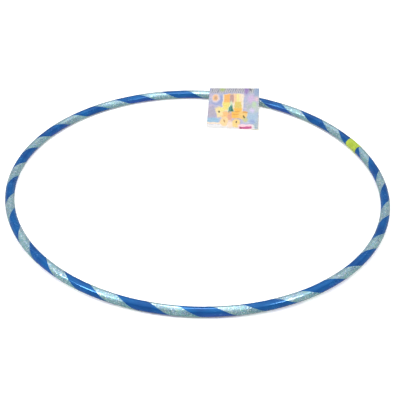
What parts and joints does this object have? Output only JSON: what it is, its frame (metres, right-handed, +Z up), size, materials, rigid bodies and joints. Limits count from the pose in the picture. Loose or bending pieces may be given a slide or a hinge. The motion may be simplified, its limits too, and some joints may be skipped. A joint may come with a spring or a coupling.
{
  "type": "rhythmic hoop",
  "caption": "Gymnastics hoop of blue plastic tube wound with glitter tape, its butt joint under a tape collar, with a folded card hang tag that slides round the ring.",
  "frame": {"origin": "the middle of the ring, on the surface that the hoop lies on", "axes": "+Z up along the ring's own axis; the card tag sits on the +Y side, at an azimuth of 78 degrees from +X, and the joint at 26 degrees"},
  "size_m": [0.8002, 0.8077, 0.028],
  "materials": {
    "tube_plastic": "glossy extruded polyethylene, blue",
    "plug_plastic": "moulded, natural white",
    "staple_wire": "galvanised wire",
    "glitter_tape": "silver holographic glitter film",
    "collar_tape": "satin vinyl tape, lime yellow",
    "printed_card": "coated card, printed on both panels",
    "dry_glue": "dried white glue"
  },
  "bodies": {
    "hoop": {"hoop_tube": "tube_plastic", "joint_plug": "plug_plastic", "joint_staple_1": "staple_wire", "joint_staple_2": "staple_wire", "glitter_ribbon": "glitter_tape", "joint_collar": "collar_tape"},
    "tag": {"hang_tag_card": "printed_card", "tag_glue_strip": "dry_glue"}
  },
  "joints": [
    {"name": "tag_slide", "type": "hinge", "parent": "hoop", "child": "tag", "pos_m": [0, 0, 0.01059], "axis": [0, 0, 1], "continuous": true}
  ]
}
